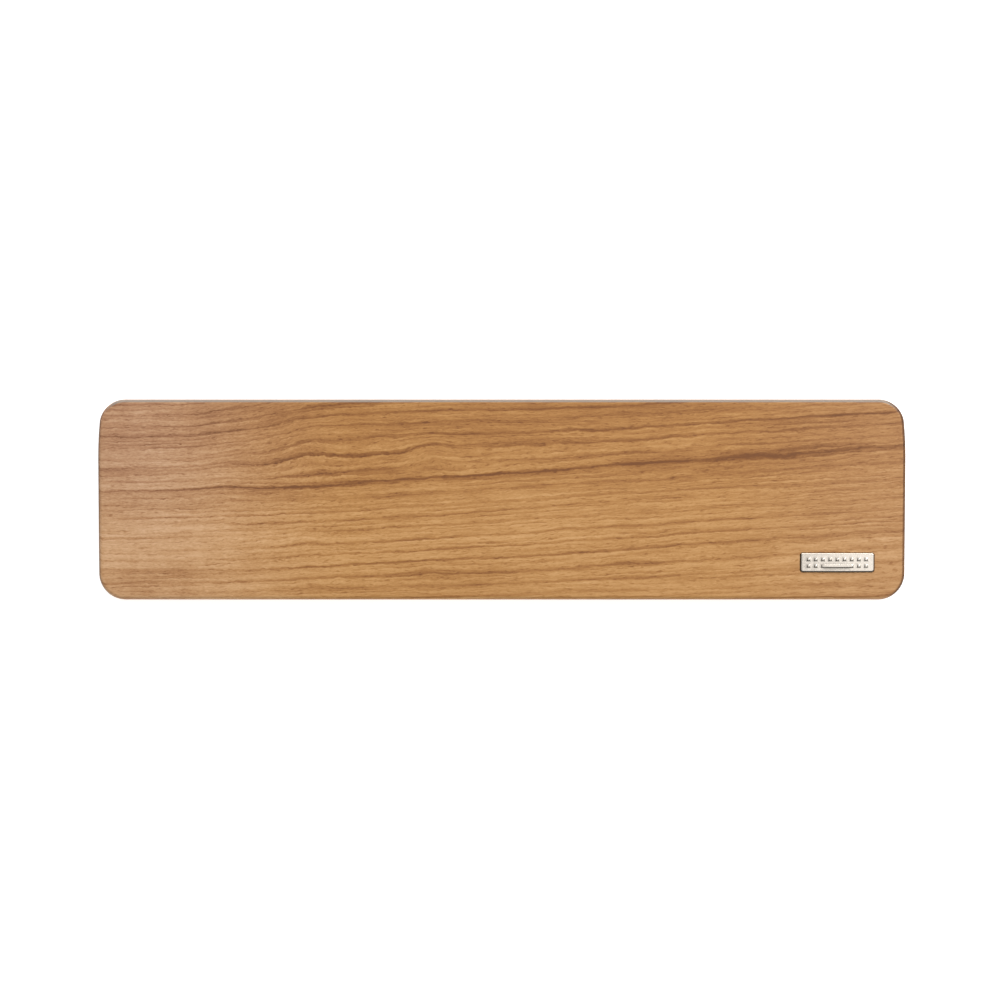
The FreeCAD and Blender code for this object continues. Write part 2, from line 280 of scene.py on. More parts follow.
class Finish:
    """A procedural finish. Each kind has a title and mixes its own recipe."""

    title = "finish"

    @cache
    def material(self) -> bpy.types.Material:
        """Return the finish as a material, made once and then reused.

        It isn't looked up by its title, because the frame brings plain materials of its own.

        Returns:
            The material.
        """
        material = bpy.data.materials.new(self.title)
        material.use_nodes = True
        self.mix(Bench(material.node_tree))
        return material

    def mix(self, bench: Bench) -> None:
        """Add the finish's nodes to its bench."""
        raise NotImplementedError


@dataclass(frozen=True)
class GrainSwell:
    """A place where the grain rises round a hidden knot."""

    x: float
    y: float
    height: float
    reach_x: float
    reach_y: float


@dataclass(frozen=True)
class OiledTimber(Finish):
    """Straight-grained walnut-brown timber under satin oil, solid all the way through.

    Tone runs from nought, the darkest late wood, to one, the palest early wood. Lengths and places in
    the grain are in millimetres.
    """

    title: str = "oiled_timber"
    rise_start: float = -112.0  # to the right of this the grain climbs towards the rear
    rise_bend: float = 14.0  # how gently the climb begins
    rise_slope: float = 0.060
    front_share: float = 0.55  # how much of the climb is left along the front edge
    rear_lift: float = 6.0  # the steeper stretch at the rear left
    rear_fall: float = 3.0  # the flatter stretch at the rear right
    top_height: float = 14.55  # the board's top in the middle, its slope and its bow
    top_slope: float = 0.0818
    top_bow: float = 0.000386
    dive: float = 1.15  # how far the grain moves across for each millimetre down into the board
    year_width: float = 4.4  # the mean distance from one year's growth line to the next
    year_drift: float = 0.9  # how strongly noise shifts the years, in years
    palest_line: float = 0.11  # how dark the palest year's line is, in steps of tone
    line_spread: float = 0.16  # how much darker than that a year's line can be
    streak_level: float = 3.0  # where in the flow the one broad dark streak runs
    streak_depth: float = 0.42
    ring_rate: float = 0.46  # faint rings for each millimetre
    ring_strength: float = 0.34
    slow_strength: float = 0.5
    streaky_strength: float = 0.68
    fibre_strength: float = 0.82
    pore_strength: float = 0.3
    relief_depth: float = 0.016 * MM
    rear_sheen_grey: Colour = (0.235, 0.195, 0.160, 1.0)  # a greyer painted sheen along the rear edge
    end_grain_and_shade_share: tuple[float, float, float] = (0.32, 0.27, 0.23)  # what end grain and painted shade leave of the colour at the ends
    swells: tuple[GrainSwell, ...] = (
        GrainSwell(-77.0, 21.0, 1.8, 9.0, 9.0),
        GrainSwell(-110.0, 8.0, 1.0, 10.0, 22.0),
        GrainSwell(-28.0, 19.0, 1.3, 8.0, 9.0),
        GrainSwell(-78.0, -16.0, 0.9, 6.0, 6.0),
        GrainSwell(-29.0, -27.0, 0.7, 5.0, 5.0),
    )
    honey: tuple[tuple[float, Colour], ...] = (
        (0.0, (0.188, 0.064, 0.013, 1.0)),
        (0.13, (0.245, 0.091, 0.018, 1.0)),
        (0.38, (0.366, 0.157, 0.040, 1.0)),
        (0.56, (0.460, 0.219, 0.062, 1.0)),
        (0.77, (0.570, 0.300, 0.105, 1.0)),
        (1.0, (0.675, 0.388, 0.168, 1.0)),
    )
    rosy: tuple[tuple[float, Colour], ...] = (
        (0.0, (0.180, 0.075, 0.030, 1.0)),
        (0.13, (0.238, 0.102, 0.042, 1.0)),
        (0.38, (0.355, 0.170, 0.085, 1.0)),
        (0.56, (0.450, 0.236, 0.120, 1.0)),
        (0.77, (0.550, 0.325, 0.185, 1.0)),
        (1.0, (0.650, 0.420, 0.270, 1.0)),
    )
    widest_tone: float = 1.3

    def mix(self, bench: Bench) -> None:
        """Mix tone, colour, gloss and relief from the grain, with painted sheen at the rear edge and the left
        end and painted shade at both ends.

        Args:
            bench: the recipe.
        """
        x, y, z = bench.place_mm()
        flow = self.flow(bench, x, y, z)
        fibre = self.fibre(bench, x, flow, z)
        pores = self.pores(bench, x, flow, z)
        tone = self.tone(bench, x, y, z, flow) + fibre - pores * self.pore_strength
        # Pinker towards the left end, partly the timber's own colour and partly a painted sheen; a little
        # pinker at the right end.
        rosy_share = x.over(-55.0, -150.0) * y.over(-25.0, 20.0, 0.55, 1.0) + x.over(80.0, 160.0) * 0.3
        place = tone / self.widest_tone
        colour = bench.blend(rosy_share, bench.ramp(place, self.honey), bench.ramp(place, self.rosy))
        end_grain_and_shade, rear_sheen = self.edges(bench)
        # Painted sheen: the rear edge turns greyer where it faces the rear, standing in for a reflection of
        # the light behind.
        colour = bench.blend(rear_sheen * 0.9, colour, self.rear_sheen_grey)
        # The ends are darkened as end grain is, and further by painted shade.
        bench.surface(Base_Color=bench.blend(end_grain_and_shade, colour, bench.tint(colour, self.end_grain_and_shade_share)),
                      Roughness=0.38 + pores * 0.2 - fibre * 0.25 + end_grain_and_shade * 0.4, Specular_IOR_Level=0.5)
        bench.relief(fibre * 0.3 - pores * 0.6, self.relief_depth)

    def flow(self, bench: Bench, x: Wire, y: Wire, z: Wire) -> Wire:
        """Return the height across the grain: it stays the same along a growth line.

        Args:
            bench: the recipe.
            x: the place along the board.
            y: the place across it.
            z: the place above the desk.

        Returns:
            The height.
        """
        climb = ((x - self.rise_start) / self.rise_bend).exp() + 1.0
        climb = climb.math("LOGARITHM", math.e) * (self.rise_bend * self.rise_slope)
        rise = climb * y.over(-10.0, -39.0, 1.0, self.front_share)
        rear = y.over(5.0, 30.0)
        rise = rise + rear * (x.over(-128.0, -62.0) * self.rear_lift - x.over(-60.0, 60.0) * self.rear_fall)
        for swell in self.swells:
            across = (x - swell.x) / swell.reach_x
            along = (y - swell.y) / swell.reach_y
            rise = rise + (0.0 - (across * across + along * along)).exp() * swell.height
        below_top = z - (self.top_height + y * self.top_slope - y * y * self.top_bow)
        wander = bench.noise(bench.join(x * 0.03, y * 0.12, z * 0.12), 1.0) * 1.8
        ripple = bench.noise(bench.join(x * 0.12, y * 0.4, z * 0.4), 2.0) * 1.3
        shiver = bench.noise(bench.join(x * 0.45, y * 0.9, z * 0.9), 1.0) * x.over(20.0, -100.0, 0.5, 0.9)
        return y - rise + below_top * self.dive + wander + ripple + shiver

    def growth(self, bench: Bench, flow: Wire) -> Wire:
        """Return how dark the growth lines are.

        Each year's growth closes with one line, crisp towards the user and fading towards the rear. The
        years differ in width and in how dark they close, and one streak is darker than all of them.

        Args:
            bench: the recipe.
            flow: the height across the grain.

        Returns:
            The darkness, in steps of tone.
        """
        drift = bench.noise(bench.join(flow * 0.09, 2.3, 7.1), 1.0) * self.year_drift
        years = flow / self.year_width + drift
        chance = bench.node("ShaderNodeTexWhiteNoise", {"noise_dimensions": "1D"},
                            {"W": years.math("FLOOR")})
        within = years.math("FRACT")
        line = within.over(0.36, 0.5) * within.over(0.5, 0.76, 1.0, 0.0)
        line = line * (chance * self.line_spread + self.palest_line)
        level = self.streak_level
        streak = flow.over(level - 0.9, level) * flow.over(level, level + 1.2, 1.0, 0.0)
        return line.math("MAXIMUM", streak * self.streak_depth)

    def rings(self, bench: Bench, x: Wire, flow: Wire) -> Wire:
        """Return the faint rings between the growth lines: each darkens slowly and ends sharply.

        Args:
            bench: the recipe.
            x: the place along the board.
            flow: the height across the grain.

        Returns:
            The darkness, from nought upwards.
        """
        spread = bench.noise(bench.join(x * 0.006, flow * 0.11, 5.1), 1.0) * 3.0
        ring = (0.0 - flow * self.ring_rate + spread).math("FRACT")
        clear = bench.noise(bench.join(x * 0.02, flow * 0.3, 8.3), 1.0).over(-0.15, 0.2, 0.2, 1.0)
        return ring * ring * clear * x.over(-20.0, -110.0, 1.0, 1.3)

    def tone(self, bench: Bench, x: Wire, y: Wire, z: Wire, flow: Wire) -> Wire:
        """Return the wood's tone without its fibres.

        Args:
            bench: the recipe.
            x: the place along the board.
            y: the place across it.
            z: the place above the desk.
            flow: the height across the grain.

        Returns:
            The tone of bands, pale areas, growth lines, rings and cross figure together.
        """
        # Paler towards the left end, partly the timber's own tone and partly a painted sheen; a little paler
        # at the right end.
        sides = x.over(-60.0, -150.0) * 0.12 + x.over(50.0, 150.0) * 0.05
        bands = flow.over(-12.0, 6.0, 0.94, 0.80) - flow.over(-38.0, -46.0) * 0.06
        # Darker towards the rear by place alone, not by the grain.
        bands = bands - y.over(10.0, 38.0) * 0.16
        slow = bench.noise(bench.join(x * 0.012, flow * 0.16, z * 0.05), 2.0) * self.slow_strength
        streaks = bench.noise(bench.join(x * 0.03, flow * 0.8, z * 0.4), 3.0, 0.6) * self.streaky_strength
        strength = bench.noise(bench.join(x * 0.035, flow * 0.25, 3.7), 2.0) * 2.6 + 1.7
        lines = self.growth(bench, flow) * strength
        lines = lines * x.over(-125.0, -55.0, 0.65, 1.0) * x.over(40.0, 110.0, 1.0, 0.82)
        figure = bench.noise(bench.join(x * 0.11, y * 0.015, z * 0.05), 1.0)
        figure = figure * x.over(-40.0, -120.0, 0.08, 0.25)
        pale = flow.over(-28.0, -22.0) * flow.over(-8.0, -16.0) * x.over(-60.0, -120.0, 0.07, 0.2)
        pale = pale + x.over(-90.0, -130.0) * y.over(-4.0, 3.0) * y.over(20.0, 12.0) * 0.13
        pale = pale - x.over(10.0, 50.0) * y.over(25.0, 12.0) * y.over(-22.0, -12.0) * 0.07
        pale = pale - x.over(10.0, 70.0) * flow.over(-30.0, -20.0) * flow.over(10.0, 2.0) * 0.08
        rings = self.rings(bench, x, flow) * self.ring_strength
        return bands + pale + sides + slow + streaks + figure - lines - rings

    def fibre(self, bench: Bench, x: Wire, flow: Wire, z: Wire) -> Wire:
        """Return the fine fibres: long in the middle of the board, grainy towards its left end.

        Args:
            bench: the recipe.
            x: the place along the board.
            flow: the height across the grain.
            z: the place above the desk.

        Returns:
            What they add to the tone.
        """
        long_fibres = bench.noise(bench.join(x * 0.13, flow * 1.9, z * 1.9), 3.0, 0.65)
        grains = bench.noise(bench.join(x * 0.8, flow * 2.1, z * 2.1), 2.0, 0.6)
        return (long_fibres + grains * x.over(-20.0, -110.0, 0.5, 0.85)) * self.fibre_strength

    @staticmethod
    def pores(bench: Bench, x: Wire, flow: Wire, z: Wire) -> Wire:
        """Return the open pores: short dark dashes on a face, dots on the end grain."""
        spots = bench.noise(bench.join(x * 0.32, flow * 2.7 + 11.0, z * 2.7), 1.0)
        return spots.over(0.07, 0.2)

    @staticmethod
    def edges(bench: Bench) -> tuple[Wire, Wire]:
        """Return how the surface's direction changes the wood.

        Args:
            bench: the recipe.

        Returns:
            How squarely it cuts the fibres at the ends, where end grain darkens and painted shade is added,
            the wider at the right end; and how far the rear edge faces the rear, where it has a greyer
            painted sheen.
        """
        across, rearward, up = bench.facing()
        # End grain darkens both ends; painted shade darkens them further, the band wider at the right end.
        end_grain_and_shade = (0.0 - across).over(0.4, 0.95) + across.over(0.1, 0.55)
        # Painted sheen: how far a surface along the rear edge faces the rear.
        rear_sheen = rearward.over(0.1, 0.32) * up.over(0.05, 0.4) * abs(across).over(0.6, 0.25)
        return end_grain_and_shade, rear_sheen


@dataclass(frozen=True)
class PolishedBadgeMetal(Finish):
    """Nickel-plated die casting, polished by hand, with painted shade on the raised keys' flanks and on the
    rim, darkest where they face the front and left.
    """

    title: str = "nickel_plated_casting"
    plate: Colour = (0.95, 0.865, 0.765, 1.0)
    clouded: Colour = (0.72, 0.655, 0.56, 1.0)
    shaded_flank_colour: Colour = (0.15, 0.13, 0.105, 1.0)  # painted shade on the flanks and the rim
    deepest_shade_colour: Colour = (0.05, 0.043, 0.035, 1.0)  # painted shade where they are steepest
    relief_depth: float = 0.035 * MM

    def mix(self, bench: Bench) -> None:
        """Mix a bright metal with faint ripples and fine scratches, and paint shade on the keys' flanks and
        the rim, darker where they face the front and left.

        Args:
            bench: the recipe.
        """
        x, y, z = bench.place_mm()
        ripple = bench.noise(bench.join(x * 0.5, y * 0.9, z * 0.9), 2.0)
        scratches = bench.noise(bench.join(x * 1.5, y * 22.0, z * 22.0), 2.0, 0.7)
        cloud = bench.noise(bench.join(x * 1.4, y * 1.8, z * 1.8), 3.0, 0.6).over(-0.1, 0.22)
        across, rearward, up = bench.facing()
        # Painted shade: flanks and rim that face the front and left are darkened as if lit from the rear
        # right.
        toward_light = across * 0.6 + rearward
        flank_shade = up.over(0.988, 0.93) * toward_light.over(-0.05, 0.35, 0.97, 0.4)
        steep_shade = up.over(0.75, 0.35) * toward_light.over(-0.05, 0.35, 0.9, 0.1)
        colour = bench.blend(cloud * 0.45, self.plate, self.clouded)
        colour = bench.blend(steep_shade, bench.blend(flank_shade, colour, self.shaded_flank_colour), self.deepest_shade_colour)
        bench.surface(Base_Color=colour, Metallic=1.0,
                      Roughness=0.16 + cloud * 0.10 + scratches * 0.10 + flank_shade * 0.1)
        bench.relief(ripple + scratches * 0.12, self.relief_depth)


@dataclass(frozen=True)
class MouldedRubber(Finish):
    """Matt black moulded rubber with a little dust in it."""

    title: str = "moulded_rubber"
    skin: Colour = (0.018, 0.018, 0.019, 1.0)
    dusty: Colour = (0.050, 0.048, 0.045, 1.0)
    relief_depth: float = 0.05 * MM

    def mix(self, bench: Bench) -> None:
        """Mix a dark matt skin with a fine spark-eroded grain.

        Args:
            bench: the recipe.
        """
        x, y, z = bench.place_mm()
        grain = bench.noise(bench.join(x * 5.0, y * 5.0, z * 5.0), 3.0, 0.6)
        dust = bench.noise(bench.join(x * 0.6, y * 0.6, z * 0.6), 3.0).over(0.0, 0.3)
        colour = bench.blend(dust * 0.5, self.skin, self.dusty)
        bench.surface(Base_Color=colour, Roughness=0.78 + grain * 0.2, Specular_IOR_Level=0.35)
        bench.relief(grain, self.relief_depth)


@dataclass(frozen=True)
class AdhesiveFilm(Finish):
    """Milky double-sided adhesive film."""

    title: str = "milky_adhesive_film"
    waxy: Colour = (0.70, 0.69, 0.64, 1.0)
    hazy: Colour = (0.80, 0.78, 0.72, 1.0)
    relief_depth: float = 0.03 * MM

    def mix(self, bench: Bench) -> None:
        """Mix a pale waxy skin with small trapped bubbles.

        Args:
            bench: the recipe.
        """
        x, y, z = bench.place_mm()
        bubbles = bench.noise(bench.join(x * 2.2, y * 2.2, z * 2.2), 2.0).over(0.12, 0.24)
        haze = bench.noise(bench.join(x * 0.4, y * 0.4, z * 0.4), 2.0)
        colour = bench.blend(haze + 0.5, self.waxy, self.hazy)
        bench.surface(Base_Color=colour, Roughness=0.42 - bubbles * 0.15)
        bench.relief(bubbles, self.relief_depth)


@dataclass(frozen=True)
class PaleFloor(Finish):
    """The opal top of a light table: matt white, and lit from below."""

    title: str = "opal_light_table"
    dimmer: Colour = (0.86, 0.86, 0.855, 1.0)
    brighter: Colour = (0.89, 0.89, 0.885, 1.0)
    glow: float = 0.78

    def mix(self, bench: Bench) -> None:
        """Mix a matt white with a trace of cloud in it.

        Args:
            bench: the recipe.
        """
        x, y, z = bench.place_mm()
        cloud = bench.noise(bench.join(x * 0.004, y * 0.004, z * 0.004), 2.0) + 0.5
        colour = bench.blend(cloud, self.dimmer, self.brighter)
        bench.surface(Base_Color=colour, Roughness=0.9, Specular_IOR_Level=0.1,
                      Emission_Color=colour, Emission_Strength=self.glow)


# --- Mesh work ---


class Workpiece:
    """One mesh on the bench: a primitive shaped by edit-mode operators on what is picked by place."""

    def __init__(self, name: str) -> None:
        """Take the object that an operator has just added.

        Args:
            name: what it is called from now on.
        """
        self.object = bpy.context.active_object
        self.object.name = name
        self.object.data.name = name

    @classmethod
    def block(cls, name: str, low: Vector, high: Vector) -> Workpiece:
        """Start from a block.

        Args:
            name: the piece's name.
            low: its lowest corner.
            high: the opposite corner.

        Returns:
            The piece.
        """
        deselect_all()
        middle, size = (low + high) / 2, high - low
        bpy.ops.mesh.primitive_cube_add(size=1.0, location=middle, scale=size)
        piece = cls(name)
        piece.settle()
        return piece

    @classmethod
    def rod(cls, name: str, foot: Vector, radius: float, height: float, sides: int) -> Workpiece:
        """Start from an upright round bar.

        Args:
            name: the piece's name.
            foot: the middle of its lower end.
            radius: its radius.
            height: its height.
            sides: how many flats stand for its round side.

        Returns:
            The piece.
        """
        deselect_all()
        middle = foot + Vector((0.0, 0.0, height / 2))
        bpy.ops.mesh.primitive_cylinder_add(vertices=sides, radius=radius, depth=height, location=middle)
        piece = cls(name)
        piece.settle()
        return piece

    def settle(self) -> None:
        """Put the object's place, turn and scale into its mesh."""
        self.activate()
        bpy.ops.object.transform_apply(location=True, rotation=True, scale=True)

    def activate(self) -> None:
        """Make this the only selected object, and the active one."""
        deselect_all()
        self.object.select_set(True)
        bpy.context.view_layer.objects.active = self.object

    def pick(self, kind: Pick, test: Callable[[object], bool]) -> int:
        """Enter edit mode and select what passes a test.

        Args:
            kind: whether vertices, edges or faces are picked.
            test: told each bmesh element.

        Returns:
            How many were picked.
        """
        self.activate()
        bpy.ops.object.mode_set(mode="EDIT")
        bpy.ops.mesh.select_mode(type=kind.value)
        bpy.ops.mesh.select_all(action="DESELECT")
        mesh = bmesh.from_edit_mesh(self.object.data)
        elements = {Pick.VERTICES: mesh.verts, Pick.EDGES: mesh.edges, Pick.FACES: mesh.faces}[kind]
        count = 0
        for element in elements:
            if test(element):
                element.select_set(True)
                count += 1
        bmesh.update_edit_mesh(self.object.data)
        return count

    def done(self) -> None:
        """Leave edit mode."""
        bpy.ops.object.mode_set(mode="OBJECT")

    def round_edges(self, test: Callable[[bmesh.types.BMEdge], bool], radius: float, segments: int) -> None:
        """Round some edges.

        Args:
            test: tells which edges.
            radius: how far from an edge its round starts.
            segments: how many faces a round has.
        """
        self.pick(Pick.EDGES, test)
        bpy.ops.mesh.bevel(offset_type="OFFSET", offset=radius, segments=segments, profile=0.5,
                           affect="EDGES")
        self.done()

    def slice(self, place: Vector, normal: Vector) -> None:
        """Cut a line of vertices all round where a plane crosses the mesh.

        Args:
            place: a point on the plane.
            normal: the plane's normal.
        """
        self.pick(Pick.FACES, lambda face: True)
        bpy.ops.mesh.bisect(plane_co=place, plane_no=normal, threshold=SAME_PLACE / 10)
        self.done()

    def shift(self, test: Callable[[bmesh.types.BMVert], bool], step: Vector) -> None:
        """Move some vertices.

        Args:
            test: tells which vertices.
            step: how far they move.
        """
        if self.pick(Pick.VERTICES, test):
            bpy.ops.transform.translate(value=step)
        self.done()

    def raise_faces(self, test: Callable[[bmesh.types.BMFace], bool], flank: float, height: float) -> None:
        """Raise the faces that pass a test, as joined patches with sloping flanks inside their outlines.

        Args:
            test: tells which faces are raised.
            flank: how wide the flanks are, seen from above.
            height: how high the faces are raised.
        """
        self.pick(Pick.FACES, test)
        bpy.ops.mesh.inset(thickness=flank, depth=height, use_even_offset=True, use_boundary=True)
        self.done()

    def carve(self, cutter: Workpiece) -> None:
        """Cut another workpiece out of this one, and throw it away.

        Args:
            cutter: the other workpiece.
        """
        modifier = self.add_modifier("BOOLEAN")
        modifier.operation = "DIFFERENCE"
        modifier.solver = "EXACT"
        modifier.object = cutter.object
        self.apply(modifier)
        bpy.data.objects.remove(cutter.object)

    def soften(self, width: float, segments: int, angle: float) -> None:
        """Break the sharp edges.

        Args:
            width: how wide the bevels are.
            segments: how many faces a bevel has.
            angle: edges sharper than this, in degrees, are broken.
        """
        modifier = self.add_modifier("BEVEL")
        modifier.limit_method = "ANGLE"
        modifier.angle_limit = math.radians(angle)
        modifier.width = width
        modifier.segments = segments
        modifier.use_clamp_overlap = True
        self.apply(modifier)

    def add_modifier(self, kind: str) -> bpy.types.Modifier:
        """Add a modifier to the piece, and return it."""
        self.activate()
        return self.object.modifiers.new(kind.title(), kind)

    def apply(self, modifier: bpy.types.Modifier) -> None:
        """Apply a modifier."""
        self.activate()
        bpy.ops.object.modifier_apply(modifier=modifier.name)

    def smooth(self, angle: float) -> None:
        """Merge doubles, point the faces outwards and shade the piece smoothly.

        Args:
            angle: edges sharper than this, in degrees, stay crisp.
        """
        self.pick(Pick.VERTICES, lambda vertex: True)
        bpy.ops.mesh.remove_doubles(threshold=SAME_PLACE / 10)
        bpy.ops.mesh.select_all(action="SELECT")
        bpy.ops.mesh.normals_make_consistent(inside=False)
        self.done()
        bpy.ops.object.shade_smooth_by_angle(angle=math.radians(angle))
        weighted = self.add_modifier("WEIGHTED_NORMAL")
        weighted.keep_sharp = True
        self.apply(weighted)

    def rows(self, axis: int) -> list[float]:
        """Find the rows that the vertices lie in.

        Args:
            axis: the axis along which one row follows another.

        Returns:
            Where each row starts, in order.
        """
        places: list[float] = []
        for place in sorted(vertex.co[axis] for vertex in self.object.data.vertices):
            if not places or place - places[-1] > SAME_PLACE:
                places.append(place)
        return places

    def copy(self, name: str) -> Workpiece:
        """Copy the piece.

        Args:
            name: the copy's name.

        Returns:
            The copy, with a mesh of its own.
        """
        self.activate()
        bpy.ops.object.duplicate(linked=False)
        return Workpiece(name)

    def move(self, transform: Matrix) -> None:
        """Move the whole mesh, and leave its object at the origin."""
        self.object.matrix_world = transform
        self.settle()

    def dress(self, finish: Finish, slot: str, *nodes: str) -> None:
        """Give the piece its finish, its body and the frame's nodes that it stands for.

        Args:
            finish: what it is made of.
            slot: the record's material slot; not used.
            nodes: the frame's nodes that it replaces.
        """
        self.object.data.materials.clear()
        self.object.data.materials.append(finish.material())
        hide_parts(*nodes)
        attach(self.object, ROOT_BODY)


class Pick(Enum):
    """What a selection is made of."""

    VERTICES = "VERT"
    EDGES = "EDGE"
    FACES = "FACE"


def deselect_all() -> None:
    """Deselect every object."""
    bpy.ops.object.select_all(action="DESELECT")


def upright(edge: bmesh.types.BMEdge) -> bool:
    """Tell whether an edge stands upright."""
    first, second = (vertex.co for vertex in edge.verts)
    return (first - second).xy.length < SAME_PLACE


def between_faces(edge: bmesh.types.BMEdge, up: float) -> bool:
    """Tell whether an edge lies between an upright face and one that looks up (1) or down (-1)."""
    tilts = sorted(face.normal.z * up for face in edge.link_faces)
    return len(tilts) == 2 and abs(tilts[0]) < SIDEWAYS and tilts[1] > FACING


# --- The rest's own sub-assemblies ---


@dataclass(frozen=True)
class Crown:
    """The gently arched slope of the board's top, above the board's underside."""

    depth: float
    front_height: float
    rear_height: float
    radius: float

    @property
    def chord_tilt(self) -> float:
        """Return the slope's mean angle."""
        return math.atan2(self.rear_height - self.front_height, self.depth)

    @property
    def drop(self) -> float:
        """Return how far the arch's centre lies below its chord."""
        return math.sqrt(self.radius ** 2 - (self.depth / 2 / math.cos(self.chord_tilt)) ** 2)

    def tilt(self, y: float) -> float:
        """Return the top's own angle at a distance from the middle."""
        return math.asin((self.drop * math.sin(self.chord_tilt) - y) / self.radius)

    def height(self, y: float) -> float:
        """Return the top's height at a distance from the middle."""
        centre = (self.rear_height + self.front_height) / 2 - self.drop * math.cos(self.chord_tilt)
        return centre + self.radius * math.cos(self.tilt(y))


@dataclass
class Board:
    """The timber: a long wedge with round corners, recessed for the badge and for six feet."""

    crown: Crown = field(default_factory=lambda: Crown(79.5 * MM, 9.4 * MM, 15.9 * MM, 1300 * MM))
    front_corner: float = 10.5 * MM
    rear_corner: float = 9.0 * MM
    draw_radius: float = 160.0 * MM
    draw_length: float = 24.0 * MM
    top_round: float = 1.6 * MM
    base_round: float = 0.8 * MM
    bore_radius: float = 6.25 * MM
    bore_depth: float = 0.8 * MM
    edge_break: float = 0.12 * MM
    corner_segments: int = 16
    round_segments: int = 6
    break_segments: int = 2
    break_angle: float = 60.0
    smooth_angle: float = 30.0
    bore_sides: int = 72
    rows: int = 32

    def build(self, badge: Badge, feet: Feet) -> Workpiece:
        """Model the board.

        Args:
            badge: what the recess in the top is for.
            feet: what the counterbores underneath are for.

        Returns:
            The finished piece.
        """
        low, high = (Vector(corner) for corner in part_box("wooden_board"))
        high.z = low.z + self.crown.rear_height
        piece = Workpiece.block("board", low, high)
        piece.round_edges(lambda edge: upright(edge) and edge.verts[0].co.y < 0, self.front_corner,
                          self.corner_segments)
        piece.round_edges(lambda edge: upright(edge) and edge.verts[0].co.y > high.y - SAME_PLACE,
                          self.rear_corner, self.corner_segments)
        piece.round_edges(lambda edge: between_faces(edge, 1.0), self.top_round, self.round_segments)
        piece.round_edges(lambda edge: between_faces(edge, -1.0), self.base_round, self.round_segments)
        for step in range(1, self.rows):
            row = low.y + (high.y - low.y) * step / self.rows
            piece.slice(Vector((0.0, row, 0.0)), Vector((0.0, 1.0, 0.0)))
        self.draw_sides_in(piece, high.y - self.draw_length)
        self.lower_top(piece, low.z)
        piece.carve(badge.recess_cutter())
        for foot in feet.places():
            deep = self.bore_depth * 2
            start = Vector((foot.x, foot.y, low.z - self.bore_depth))
            piece.carve(Workpiece.rod("bore", start, self.bore_radius, deep, self.bore_sides))
        piece.soften(self.edge_break, self.break_segments, self.break_angle)
        piece.smooth(self.smooth_angle)
        piece.dress(OiledTimber(), "oiled_walnut", "wooden_board")
        return piece

    def draw_sides_in(self, piece: Workpiece, start: float) -> None:
        """Draw the sides in towards the rear, row by row.

        Args:
            piece: the board.
            start: where along the board's depth the sides start to draw in.
        """
        for row in piece.rows(1):
            if row > start:
                draw = self.draw_radius - math.sqrt(self.draw_radius ** 2 - (row - start) ** 2)
                for side in (-1.0, 1.0):
                    piece.shift(lambda vertex: in_row(vertex, row) and vertex.co.x * side > 0,
                                Vector((-side * draw, 0.0, 0.0)))

    def lower_top(self, piece: Workpiece, base: float) -> None:
        """Lower the flat top and the round at its edge, row by row, onto the crowned slope.

        Args:
            piece: the board.
            base: the height of its underside.
        """
        below_round = base + self.crown.rear_height - self.top_round - SAME_PLACE
        for row in piece.rows(1):
            step = self.crown.height(row) - self.crown.rear_height
            piece.shift(lambda vertex: in_row(vertex, row) and vertex.co.z > below_round,
                        Vector((0.0, 0.0, step)))


def in_row(vertex: bmesh.types.BMVert, row: float, axis: int = 1) -> bool:
    """Tell whether a vertex belongs to a row that starts at a place along an axis."""
    return -ROUNDING < vertex.co[axis] - row <= SAME_PLACE


